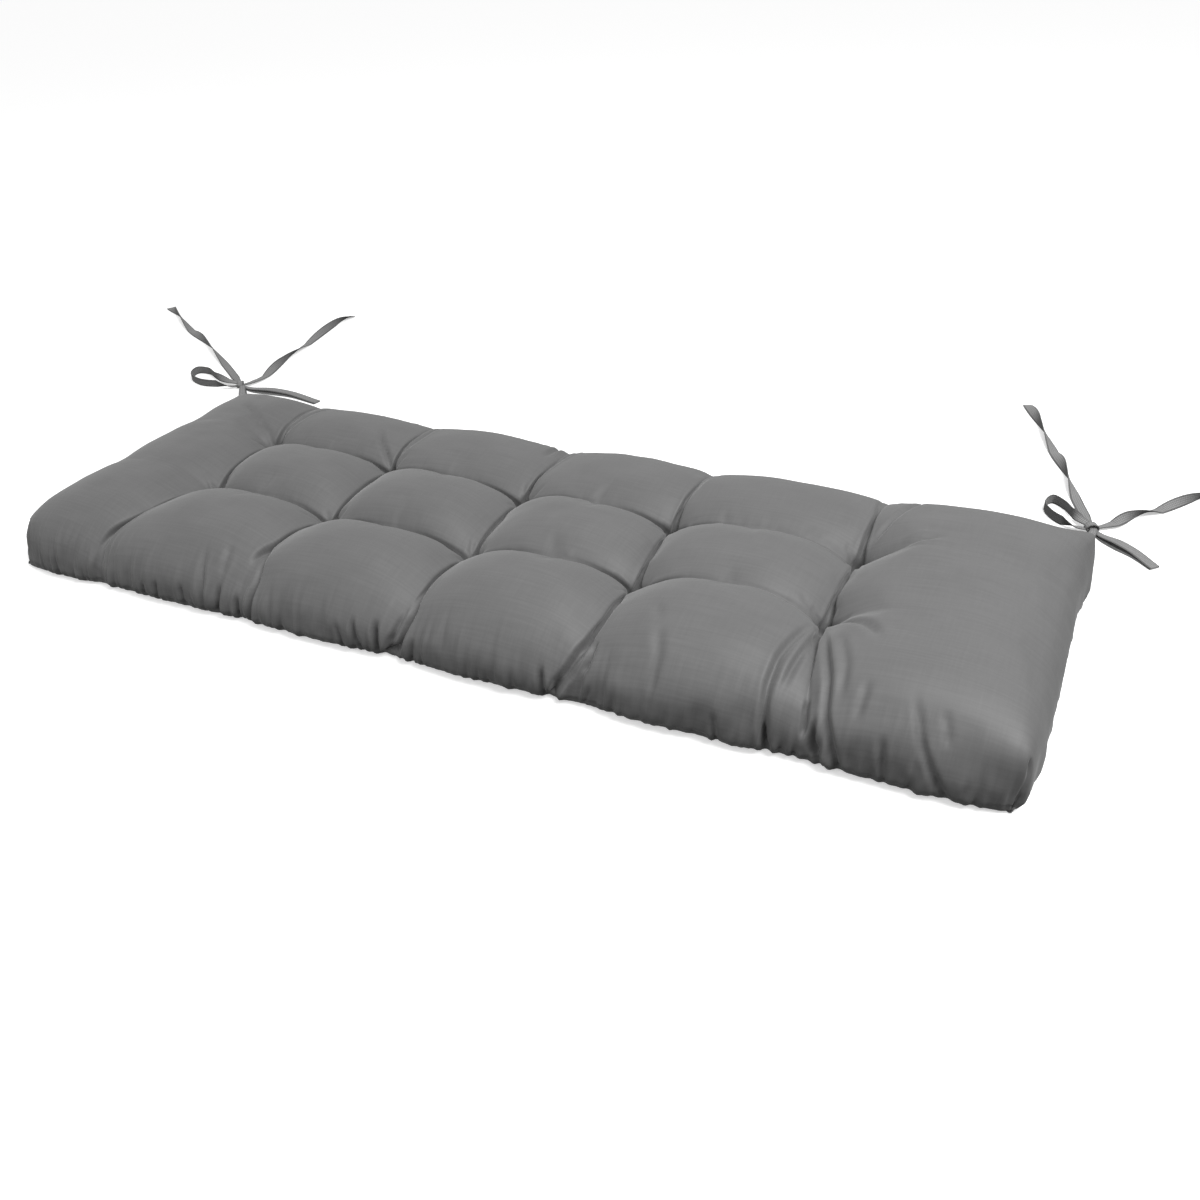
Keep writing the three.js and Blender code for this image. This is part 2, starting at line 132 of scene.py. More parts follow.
def crease_net():
    """Four lines of crease crossings from front to back, each from left to right."""
    lines = [
        [(-RIM_X, -RIM_Y, CORNER_HEIGHT)],
        [(-RIM_X, -RIM_Y / 3, RIM_HEIGHT)],
        [(-RIM_X, RIM_Y / 3, RIM_HEIGHT)],
        [(-RIM_X, RIM_Y, CORNER_HEIGHT)],
    ]
    for tuft, crease in zip(TUFT_LINES, LINE_CREASES):
        lines[0].append((tuft["front_x"], -RIM_Y + RIM_BOW / 2, crease["front_end"]))
        lines[1].append((*tuft["front_tuft"], TUFT_HEIGHT))
        lines[2].append((*tuft["back_tuft"], TUFT_HEIGHT))
        lines[3].append((tuft["back_x"], RIM_Y - RIM_BOW / 2, crease["back_end"]))
    for line in lines:
        _, y, z = line[0]
        line.append((RIM_X, y, z))
    return np.array(lines, float)


def mound_sides(column, row):
    """The crest of a mound, and for each side the height half way along it and the run-off's power."""
    name = MOUND_ROWS[row]
    mound = MOUNDS[column]
    rim = (RIM_HEIGHT, RIM_POWER)
    left = rim if column == 0 else (LINE_CREASES[column - 1][name], CREASE_POWER)
    right = rim if column == LAST_COLUMN else (LINE_CREASES[column][name], CREASE_POWER)
    front = rim if row == 0 else (mound[ROW_CREASES[row - 1]], CREASE_POWER)
    back = rim if row == LAST_ROW else (mound[ROW_CREASES[row]], CREASE_POWER)
    return mound[name], left, right, front, back


def top_point(net, column, row, s, t):
    """A point of the top panel. s and t run from -1 to 1 over one mound."""
    a = (s + 1) / 2
    b = (t + 1) / 2
    near = lerp(net[row, column], net[row, column + 1], a)
    far = lerp(net[row + 1, column], net[row + 1, column + 1], a)
    x, y, _ = lerp(near, far, b)
    crest, left, right, front, back = mound_sides(column, row)
    side_s = left if s < 0 else right
    side_t = front if t < 0 else back
    corner = net[row if t < 0 else row + 1, column if s < 0 else column + 1, 2]
    run_s = abs(s) ** side_s[1]
    run_t = abs(t) ** side_t[1]
    drop_s = crest - side_s[0]
    drop_t = crest - side_t[0]
    drop_corner = crest - corner - drop_s - drop_t
    z = crest - drop_s * run_s - drop_t * run_t - drop_corner * run_s * run_t
    if row == 0:
        y -= RIM_BOW * (1 - s * s) * (1 - b) ** 2
    if row == LAST_ROW:
        y += RIM_BOW * (1 - s * s) * b**2
    if column == 0:
        x -= END_BOW * (1 - 4 * (y / DEPTH) ** 2) * (1 - a) ** 2
    return x, y, z


def top_grid():
    """The points of the top panel, row by row from the front."""
    net = crease_net()
    columns = len(MOUNDS) * STEPS_X
    rows = len(MOUND_ROWS) * STEPS_Y
    grid = np.zeros((rows + 1, columns + 1, 3))
    for j in range(rows + 1):
        row = min(j // STEPS_Y, LAST_ROW)
        t = crowd(j - row * STEPS_Y, STEPS_Y, CROWD_Y)
        for i in range(columns + 1):
            column = min(i // STEPS_X, LAST_COLUMN)
            s = crowd(i - column * STEPS_X, STEPS_X, CROWD_X)
            grid[j, i] = top_point(net, column, row, s, t)
    return grid


def rim_order(rows, columns):
    """The rim's grid places in order: front, right, back and left."""
    front = [(0, i) for i in range(columns)]
    right = [(j, columns) for j in range(rows)]
    back = [(rows, columns - i) for i in range(columns)]
    left = [(rows - j, 0) for j in range(rows)]
    return [front, right, back, left]


def wall_posts(grid):
    """For each rim point its foot, its outward direction and how far the wall bellies out there."""
    rows, columns = grid.shape[0] - 1, grid.shape[1] - 1
    corners = ["front_left", "front_right", "back_right", "back_left"]
    outs = [(0, -1), (1, 0), (0, 1), (-1, 0)]
    sides = rim_order(rows, columns)
    posts = []
    for n, side in enumerate(sides):
        after = (n + 1) % len(sides)
        start = grid[side[0]][:2]
        end = grid[sides[after][0]][:2]
        foot_a = np.array(FOOT[corners[n]], float)
        foot_b = np.array(FOOT[corners[after]], float)
        out = np.array(outs[n], float)
        along = n % 2
        for k, place in enumerate(side):
            rim = grid[place]
            share = (rim[along] - start[along]) / (end[along] - start[along])
            near_crease = 0
            if along == 0:
                near_crease = abs(crowd(k % STEPS_X, STEPS_X, CROWD_X)) ** CREASE_POWER
            near_corner = abs(2 * share - 1) ** BELLY_POWER
            bow = float(np.dot(rim[:2] - lerp(start, end, share), out))
            belly = WALL_BELLY * (1 - near_corner) * (1 - CREASE_DRAW_IN * near_crease)
            foot = lerp(foot_a, foot_b, share) + out * bow / 2
            posts.append(dict(place=place, rim=rim, foot=foot, out=out, belly=belly))
    return posts


def wall_point(post, q):
    """A point of the wall. q runs from 0 at the rim to 1 at the foot."""
    tuck = FOOT_TUCK * max(0, (q - FOOT_START) / (1 - FOOT_START)) ** 2
    stand_out = post["belly"] * math.sin(math.pi * q) - tuck
    plan = lerp(post["rim"][:2], post["foot"], q) + post["out"] * stand_out
    return plan[0], plan[1], post["rim"][2] * (1 - q)


def corner_lines(height):
    """For each boxed corner its outward signs, its rounding and where its line is at each height."""
    share = np.clip(height / CORNER_HEIGHT, 0, 1)[:, None]
    for name, foot in FOOT.items():
        edge, end = name.split("_")
        signs = np.array([1 if end == "right" else -1, 1 if edge == "back" else -1])
        rim = signs * np.array([RIM_X, RIM_Y])
        yield signs, CORNER_ROUND[edge], lerp(np.array(foot, float), rim, share)


def round_corners(points):
    """Rounds the upright corners, by drawing the square round each one into a quarter circle."""
    points = np.array(points, float)
    for signs, radius, line in corner_lines(points[:, 2]):
        middle = line * signs - radius
        past = points[:, :2] * signs - middle
        near = (past > 0).all(axis=1)
        draw = past[near].max(axis=1) / np.linalg.norm(past[near], axis=1)
        points[near, :2] = (middle[near] + past[near] * draw[:, None]) * signs
    return points


def draw_corner(places):
    """The tie draws the right back corner out."""
    along = np.maximum(0, (places[:, 0] - RIM_X + CORNER_DRAW["reach_x"]) / CORNER_DRAW["reach_x"])
    from_back = np.maximum(0, (RIM_Y - places[:, 1]) / CORNER_DRAW["reach_y"])
    drawn = places.copy()
    drawn[:, 0] += CORNER_DRAW["out"] * along**2 * np.exp(-(from_back**2))
    return drawn


def write_flat(mesh, flat):
    """Keeps each point's place on the flat cloth with the mesh."""
    attribute = mesh.attributes.new("flat", "FLOAT_VECTOR", "POINT")
    attribute.data.foreach_set("vector", np.array(flat, np.float32).ravel())


def read_flat(mesh):
    flat = np.empty(3 * len(mesh.vertices), np.float32)
    mesh.attributes["flat"].data.foreach_get("vector", flat)
    return flat.reshape(-1, 3)


def cushion_mesh():
    """The filled cover, open under the middle, and its held points, tufts and creases."""
    grid = top_grid()
    rows, columns = grid.shape[0] - 1, grid.shape[1] - 1
    points = [tuple(p) for p in grid.reshape(-1, 3)]
    flat = [(p[0], p[1], 0) for p in points]
    top = np.arange(len(points)).reshape(rows + 1, columns + 1)
    faces = []
    for j in range(rows):
        for i in range(columns):
            faces.append((top[j, i], top[j, i + 1], top[j + 1, i + 1], top[j + 1, i]))
    posts = wall_posts(grid)
    rings = [[top[post["place"]] for post in posts]]
    for q in WALL_STEPS[1:]:
        ring = []
        for post in posts:
            ring.append(len(points))
            points.append(wall_point(post, q))
            down = post["rim"][2] * q
            edge = np.sign(post["out"])
            flat.append((post["rim"][0] + edge[0] * down, post["rim"][1] + edge[1] * down, down))
        rings.append(ring)
    count = len(posts)
    for upper, lower in zip(rings, rings[1:]):
        for k in range(count):
            n = (k + 1) % count
            faces.append((upper[n], upper[k], lower[k], lower[n]))
    inset = np.array([1 - 2 * UNDER_INSET / LENGTH, 1 - 2 * UNDER_INSET / DEPTH])
    inner = []
    for k in rings[-1]:
        inner.append(len(points))
        points.append((*(np.array(points[k][:2]) * inset), 0))
        flat.append((*points[-1][:2], UNDER_MARK))
    for k in range(count):
        n = (k + 1) % count
        faces.append((rings[-1][n], rings[-1][k], inner[k], inner[n]))
    mesh = bpy.data.meshes.new("cushion_cover")
    places = draw_corner(round_corners(points))
    mesh.from_pydata((MM * places).tolist(), [], [tuple(int(k) for k in f) for f in faces])
    mesh.update()
    write_flat(mesh, flat)
    held = set(inner) | set(int(k) for ring in rings[SEAM_STEP:] for k in ring)
    tuft_rows = [n * STEPS_Y for n in range(1, len(MOUND_ROWS))]
    tuft_columns = [n * STEPS_X for n in range(1, len(MOUNDS))]
    tufts = [int(top[j, i]) for j in tuft_rows for i in tuft_columns]
    creases = []
    for i in tuft_columns:
        creases += [int(k) for k in top[:, i]]
    for j in tuft_rows:
        creases += [int(k) for k in top[j, STEPS_X:-STEPS_X]]
    return mesh, sorted(held), tufts, creases


def read_points(mesh):
    flat = np.empty(3 * len(mesh.vertices), np.float32)
    mesh.vertices.foreach_get("co", flat)
    return flat.reshape(-1, 3).astype(float)


def write_points(mesh, points):
    mesh.vertices.foreach_set("co", points.astype(np.float32).ravel())
    mesh.update()


# Filling of the cover
SIM_FRAMES = 20
MOVE_CAP = 6 * MM
CREASE_HOLD = 0.5
TINY = 1e-9
FILLED_CLOTH = dict(
    quality=5,
    mass=0.3,
    tension_stiffness=15,
    compression_stiffness=15,
    shear_stiffness=5,
    bending_stiffness=0.3,
    use_pressure=True,
    uniform_pressure_force=4,
    shrink_min=-0.02,
)


def swell(obj, held, tufts, creases):
    """Fills the cover by cloth pressure, held at its underside and tufts, and keeps the result."""
    group = obj.vertex_groups.new(name="held")
    group.add(creases, CREASE_HOLD, "REPLACE")
    group.add(held + tufts, 1.0, "REPLACE")
    before = read_points(obj.data)
    cloth = obj.modifiers.new("fill", "CLOTH")
    settings = cloth.settings
    for name, value in FILLED_CLOTH.items():
        setattr(settings, name, value)
    settings.vertex_group_mass = group.name
    settings.effector_weights.gravity = 0
    cloth.collision_settings.use_collision = False
    cloth.collision_settings.use_self_collision = False
    for number in range(1, SIM_FRAMES + 1):
        scene.frame_set(number)
    graph = bpy.context.evaluated_depsgraph_get()
    filled = obj.evaluated_get(graph)
    after = np.array([v.co[:] for v in filled.data.vertices])
    obj.modifiers.remove(cloth)
    obj.vertex_groups.remove(group)
    scene.frame_set(1)
    move = after - before
    far = np.linalg.norm(move, axis=1, keepdims=True)
    move *= np.minimum(1, MOVE_CAP / np.maximum(far, TINY))
    write_points(obj.data, before + move)


RIM_SOFT = 24
RIM_PASSES = 25
RIM_FACTOR = 0.5
RIM_LEAST = 0.02


def soften_rim(obj):
    """Rounds the rim, so that the cover rolls over it into the wall."""
    mesh = obj.data
    flat = read_flat(mesh)
    past = np.maximum(np.abs(flat[:, 0]) - RIM_X, np.abs(flat[:, 1]) - RIM_Y)
    weight = np.where(flat[:, 2] < 0, 0, np.exp(-((past / RIM_SOFT) ** 2)))
    to_corner = np.hypot(np.abs(flat[:, 0]) - RIM_X, flat[:, 1] - RIM_Y)
    weight *= 1 - np.exp(-((to_corner / CORNER_KEEP) ** 2))
    group = obj.vertex_groups.new(name="rim")
    for k in np.nonzero(weight > RIM_LEAST)[0]:
        group.add([int(k)], float(weight[k]), "REPLACE")
    soft = obj.modifiers.new("rim", "SMOOTH")
    soft.factor = RIM_FACTOR
    soft.iterations = RIM_PASSES
    soft.vertex_group = group.name
    graph = bpy.context.evaluated_depsgraph_get()
    points = read_points(obj.evaluated_get(graph).data)
    obj.modifiers.remove(soft)
    obj.vertex_groups.remove(group)
    write_points(mesh, points)


def subdivide(obj):
    finer = obj.modifiers.new("finer", "SUBSURF")
    finer.levels = 1
    finer.render_levels = 1
    graph = bpy.context.evaluated_depsgraph_get()
    mesh = bpy.data.meshes.new_from_object(obj.evaluated_get(graph))
    obj.modifiers.remove(finer)
    old = obj.data
    obj.data = mesh
    bpy.data.meshes.remove(old)


# Wrinkles of the cover: a path on the flat cloth, the half width of the trough and its depth.
# The flat cloth runs on past the rim, so the front wall lies at y from -221 to about -285.
WRINKLES = [
    dict(path=[(-460, -95), (-474, -150), (-496, -200), (-510, -236)], width=6, depth=5),
    dict(path=[(-256, -110), (-259, -160), (-267, -190), (-270, -210)], width=6, depth=5),
    dict(path=[(-260, -172), (-253, -205), (-249, -228), (-250, -262)], width=5, depth=5),
    dict(path=[(-304, -196), (-299, -232)], width=6, depth=2.2),
    dict(path=[(-335, -208), (-323, -245), (-321, -278)], width=5, depth=3.5),
    dict(path=[(-297, -236), (-300, -276)], width=4, depth=4),
    dict(path=[(-273, -238), (-272, -270)], width=4, depth=4),
    dict(path=[(-417, -264), (-420, -288)], width=4, depth=3),
    dict(path=[(-395, -258), (-398, -288)], width=4, depth=3.5),
    dict(path=[(-356, -256), (-354, -286)], width=4, depth=3),
    dict(path=[(-33, -115), (-30, -175), (-27, -215), (-34, -252), (-52, -276)], width=6, depth=7),
    dict(path=[(-36, -205), (-42, -240), (-50, -262)], width=4.5, depth=4),
    dict(path=[(-68, -232), (-62, -278)], width=5, depth=6),
    dict(path=[(-98, -240), (-87, -280)], width=4.5, depth=4),
    dict(path=[(-118, -252), (-110, -282)], width=4, depth=2.5),
    dict(path=[(-15, -240), (-18, -276)], width=4, depth=3),
    dict(path=[(188, -115), (191, -160), (188, -200), (179, -234), (164, -270)], width=6, depth=6.5),
    dict(path=[(199, -200), (196, -236)], width=5, depth=4),
    dict(path=[(148, -240), (154, -276)], width=4.5, depth=5),
    dict(path=[(205, -245), (200, -272)], width=4, depth=3),
    dict(path=[(262, -180), (275, -215), (277, -252)], width=8, depth=1.8),
    dict(path=[(246, -150), (262, -176)], width=7, depth=1.5),
    dict(path=[(408, -85), (414, -130), (416, -165)], width=5, depth=4),
    dict(path=[(409, -105), (409, -152), (404, -215)], width=4.5, depth=3.5),
    dict(path=[(405, -95), (397, -140), (391, -180), (391, -214), (399, -256)], width=5.5, depth=5),
    dict(path=[(416, -95), (432, -140), (449, -190), (453, -217), (467, -256)], width=5, depth=4),
    dict(path=[(440, -120), (460, -170), (467, -215)], width=6, depth=2.2),
    dict(path=[(488, -192), (484, -228)], width=6, depth=1.8),
    dict(path=[(530, -198), (547, -236), (560, -258)], width=5, depth=2.6),
    dict(path=[(560, -208), (572, -236)], width=5, depth=1.5),
    dict(path=[(442, -222), (446, -251), (457, -278)], width=5, depth=7),
    dict(path=[(431, -206), (437, -245)], width=4, depth=3.5),
    dict(path=[(397, -244), (402, -280)], width=4, depth=4.5),
    dict(path=[(510, -232), (517, -268)], width=4.5, depth=3),
    dict(path=[(345, -248), (350, -282)], width=4, depth=3),
    dict(path=[(413, 70), (440, 78), (470, 88), (505, 100)], width=7, depth=3),
    dict(path=[(414, -70), (447, -88), (470, -110), (484, -132)], width=7, depth=3.5),
    dict(path=[(412, 90), (430, 125), (452, 185), (462, 225)], width=5, depth=3),
    dict(path=[(407, 95), (408, 150), (402, 222)], width=5, depth=2),
    dict(path=[(-482, 98), (-530, 118), (-580, 150)], width=8, depth=2.5),
    dict(path=[(-478, 105), (-462, 150), (-448, 205)], width=3.5, depth=2.5),
    dict(path=[(-270, 95), (-300, 120), (-322, 150)], width=5, depth=3.5),
    dict(path=[(-264, 100), (-256, 150), (-250, 222)], width=5, depth=2.5),
    dict(path=[(-44, 85), (-38, 140), (-26, 195), (-22, 250)], width=4, depth=7),
    dict(path=[(-60, 165), (-62, 235)], width=5, depth=3),
    dict(path=[(174, 80), (180, 140), (186, 215)], width=6, depth=1.5),
]
CREASE_FOLD = dict(width=4, depth=8)
FOLD_FADE = 60
LINE_LEAST = 0.4
ROW_LEAST = 0.12
TUFT_RAYS = 7
RAY_START = 5
RAY_LENGTH = 32
RAY_WIDTH = 3.5
RAY_DEPTH = 1.6
RAY_TURN = dict(first=0.4, sway=0.35, rate=5.1)
RAY_REACH = dict(base=0.75, sway=0.35, rate=3.7)
TUFT_PINCH = dict(width=8, depth=9)
WRINKLE_GAIN = 1.6
RUN_OUT = 0.28
END_LEAST = 0.05
TROUGH_REACH = 3
RIDGE_SHARE = 0.9
SEAM_SIDE = -254
SEAM_END = -300
SEAM_HEIGHT = 9
SEAM_WIDTH = 1.8
SEAM_DEPTH = 1.1
CORNER_SEAM = dict(width=1.9, depth=4)
PUCKER = dict(depth=4, pitch=(9, 1), layer=7, reach=13)
STREAK_REACH = 55
STREAK_START = 15
STREAK_RUN = 70
STREAKS = [
    dict(depth=2.8, pitch=(7, 55), layer=3),
    dict(depth=3.2, pitch=(19, 80), layer=11),
]
UNEVEN = [
    dict(depth=2.4, pitch=(85, 60, 60)),
    dict(depth=0.8, pitch=(34, 26, 26)),
]
HOLD_HEIGHT = 8


def trough_shape(share):
    """A soft trough with a low ridge on both sides."""
    return np.exp(-share**2) * (1 - RIDGE_SHARE * share**2)


def path_trough(flat, path, width, depth):
    """How deep each point lies in a trough along a path, which runs out at any end but the seam."""
    path = np.array(path, float)
    to_seam = path[-1][1] < SEAM_SIDE
    if to_seam:
        step = path[-1] - path[-2]
        path = np.vstack([path, path[-1] + step * (SEAM_END - path[-1][1]) / step[1]])
    spans = np.linalg.norm(np.diff(path, axis=0), axis=1)
    total = spans.sum()
    near = np.full(len(flat), np.inf)
    along = np.zeros(len(flat))
    start = 0
    for a, b, span in zip(path, path[1:], spans):
        t = np.clip(((flat[:, :2] - a) @ (b - a)) / span**2, 0, 1)
        away = np.linalg.norm(flat[:, :2] - a - t[:, None] * (b - a), axis=1)
        closer = away < near
        near[closer] = away[closer]
        along[closer] = ((start + t * span) / total)[closer]
        start += span
    to_end = along if to_seam else np.minimum(along, 1 - along)
    run_out = np.clip(to_end / RUN_OUT, 0, 1)
    strength = lerp(END_LEAST, 1, run_out * run_out * (3 - 2 * run_out))
    strength[near > TROUGH_REACH * width] = 0
    return depth * strength * trough_shape(near / width)


def tuft_rays(flat):
    """The pinch at each tuft and the short uneven creases that run from it."""
    deep = np.zeros(len(flat))
    turn = RAY_TURN["first"]
    for tuft in TUFT_LINES:
        for place in (tuft["front_tuft"], tuft["back_tuft"]):
            away = np.linalg.norm(flat[:, :2] - np.array(place), axis=1)
            deep += TUFT_PINCH["depth"] * np.exp(-((away / TUFT_PINCH["width"]) ** 2))
            for _ in range(TUFT_RAYS):
                turn += 2 * math.pi / TUFT_RAYS + RAY_TURN["sway"] * math.sin(RAY_TURN["rate"] * turn)
                reach = RAY_REACH["base"] + RAY_REACH["sway"] * math.sin(RAY_REACH["rate"] * turn)
                way = np.array([math.cos(turn), math.sin(turn)])
                start = np.array(place) + RAY_START * way
                end = start + RAY_LENGTH * reach * way
                deep += path_trough(flat, [start, end], RAY_WIDTH, RAY_DEPTH)
    return deep


def crease_folds(flat):
    """The narrow fold in the bottom of each crease, deepest beside the tufts."""
    net = crease_net()
    tufts = net[1:3, 1:-1, :2].reshape(-1, 2)
    away = np.min([np.linalg.norm(flat[:, :2] - tuft, axis=1) for tuft in tufts], axis=0)
    near = np.exp(-((away / FOLD_FADE) ** 2))
    deep = np.zeros(len(flat))
    for line in range(1, len(MOUNDS)):
        deep += lerp(LINE_LEAST, 1, near) * path_trough(flat, net[:, line, :2], **CREASE_FOLD)
    for row in range(1, len(MOUND_ROWS)):
        deep += lerp(ROW_LEAST, 1, near) * path_trough(flat, net[row, 1:-1, :2], **CREASE_FOLD)
    return deep


def noise_field(points, pitch):
    return np.array([noise.noise((p[0] / pitch[0], p[1] / pitch[1], p[2] / pitch[2])) for p in points])


def noise_sheet(across, along, pitch, layer):
    """Noise over two directions of the cloth. Each layer is a pattern of its own."""
    return noise_field(np.c_[across, along, np.full(len(across), float(layer))], (*pitch, 1))


def seam_relief(points, flat):
    """The sewn seam round the foot with its puckers, and the upright seams of the boxed corners."""
    height = points[:, 2]
    wall = flat[:, 2] > 0
    run = np.where(np.abs(flat[:, 1]) > RIM_Y, flat[:, 0], flat[:, 1])
    deep = SEAM_DEPTH * np.exp(-(((height - SEAM_HEIGHT) / SEAM_WIDTH) ** 2))
    pucker = noise_sheet(run, 0 * run, PUCKER["pitch"], PUCKER["layer"])
    deep += PUCKER["depth"] * pucker * np.exp(-(((height - SEAM_HEIGHT) / PUCKER["reach"]) ** 2))
    for signs, radius, line in corner_lines(height):
        seam = draw_corner(line - signs * radius * (1 - math.sqrt(0.5)))
        away = np.linalg.norm(points[:, :2] - seam, axis=1)
        deep += CORNER_SEAM["depth"] * np.exp(-((away / CORNER_SEAM["width"]) ** 2))
    return np.where(wall, deep, 0)


def front_streaks(flat):
    """Fine upright strain lines low on the long walls, stronger towards the seam."""
    low = np.clip((np.abs(flat[:, 1]) - RIM_Y + STREAK_START) / STREAK_RUN, 0, 1)
    for tuft in TUFT_LINES:
        near = np.exp(-(((flat[:, 0] - tuft["front_x"]) / STREAK_REACH) ** 2))
        low *= 1 + near
    deep = np.zeros(len(flat))
    for streak in STREAKS:
        deep += streak["depth"] * low * noise_sheet(flat[:, 0], flat[:, 1], streak["pitch"], streak["layer"])
    return deep


def dress(obj):
    """Adds the wrinkles, folds, seams and unevenness of the sewn cover."""
    mesh = obj.data
    points = read_points(mesh) / MM
    normals = np.empty(3 * len(mesh.vertices), np.float32)
    mesh.vertices.foreach_get("normal", normals)
    normals = normals.reshape(-1, 3).astype(float)
    flat = read_flat(mesh).astype(float)
    deep = tuft_rays(flat) + crease_folds(flat)
    for wrinkle in WRINKLES:
        deep += path_trough(flat, wrinkle["path"], wrinkle["width"], WRINKLE_GAIN * wrinkle["depth"])
    deep += front_streaks(flat)
    deep += seam_relief(points, flat)
    for wave in UNEVEN:
        deep += wave["depth"] * noise_field(points, wave["pitch"])
    held = np.clip(points[:, 2] / HOLD_HEIGHT, 0, 1)
    deep *= np.where(flat[:, 2] < UNDER_MARK / 2, 0, held)
    points -= normals * deep[:, None]
    points[:, 2] = np.maximum(points[:, 2], 0)
    write_points(mesh, points * MM)


def edge_loop(shape):
    """The points round the open underside, in order."""
    edge = next(e for e in shape.edges if e.is_boundary)
    loop = [edge.verts[0], edge.verts[1]]
    while True:
        ahead = next(e for e in loop[-1].link_edges if e.is_boundary and loop[-2] not in e.verts)
        point = ahead.other_vert(loop[-1])
        if point is loop[0]:
            return loop
        loop.append(point)


def dimple_rings(shape, place):
    """A dimple of the underside: rings of points from its edge inwards, and its middle."""
    rings = []
    for n in range(DIMPLE_RINGS):
        share = 1 - n / DIMPLE_RINGS
        ring = []
        for k in range(DIMPLE_SIDES):
            turn = 2 * math.pi * k / DIMPLE_SIDES
            x = place[0] + DIMPLE_RADIUS * share * math.cos(turn)
            y = place[1] + DIMPLE_RADIUS * share * math.sin(turn)
            z = DIMPLE_DEPTH * (1 - share**2) ** 2
            ring.append(shape.verts.new((x * MM, y * MM, z * MM)))
        rings.append(ring)
    middle = shape.verts.new((place[0] * MM, place[1] * MM, DIMPLE_DEPTH * MM))
    return rings, middle


def close_underside(obj):
    """Fills in the flat underside, with a dimple under each tuft."""
    shape = bmesh.new()
    shape.from_mesh(obj.data)
    loops = [edge_loop(shape)]
    for tuft in TUFT_LINES:
        for place in (tuft["front_tuft"], tuft["back_tuft"]):
            rings, middle = dimple_rings(shape, place)
            loops.append(rings[0])
            for k in range(DIMPLE_SIDES):
                n = (k + 1) % DIMPLE_SIDES
                for outer, inner in zip(rings, rings[1:]):
                    shape.faces.new((outer[n], outer[k], inner[k], inner[n]))
                shape.faces.new((rings[-1][n], rings[-1][k], middle))
    every = [v for loop in loops for v in loop]
    for corners in geometry.tessellate_polygon([[v.co for v in loop] for loop in loops]):
        shape.faces.new([every[k] for k in corners])
    bmesh.ops.recalc_face_normals(shape, faces=shape.faces[:])
    shape.to_mesh(obj.data)
    shape.free()


def make_cushion():
    """The cover, filled, rounded, wrinkled and closed underneath."""
    mesh, held, tufts, creases = cushion_mesh()
    obj = bpy.data.objects.new("cushion_cover", mesh)
    scene.collection.objects.link(obj)
    swell(obj, held, tufts, creases)
    soften_rim(obj)
    subdivide(obj)
    dress(obj)
    close_underside(obj)
    obj.data.shade_smooth()
    return obj


# Tie tapes, in millimetres, on the same routes as in the part's source
TAPE_WIDTH = 15
TAPE_THICKNESS = 1.2
LAYER = 1.5
PINCHED = 8
FOLD_THICKNESS = LAYER + TAPE_THICKNESS
SEAM_LEVEL = 12
OPEN_LEVEL = FOLD_THICKNESS + LAYER / 2
KNOT_LEVEL = OPEN_LEVEL + LAYER
STEM_LEVEL = LAYER + 0.5
LOOP_WIDTH = 14
SEAM_GAP = 0.3
ROW_STEPS = 18
ACROSS_STEPS = 10
HEM = dict(share=0.45, place=0.86, width=0.1)
EDGE_SHARE = 0.3
LOOP_LIFT = 5
LOOP_DROP = 0.4
LOOP_SLIP = 3
CENTRIPETAL = 0.5


def at(x, y, level=0, roll=0, width=TAPE_WIDTH):
    """A row of a tape's route: its place, its lower edge's height, its roll about its run, its width."""
    return dict(x=x, y=y, level=level, roll=roll, width=width)


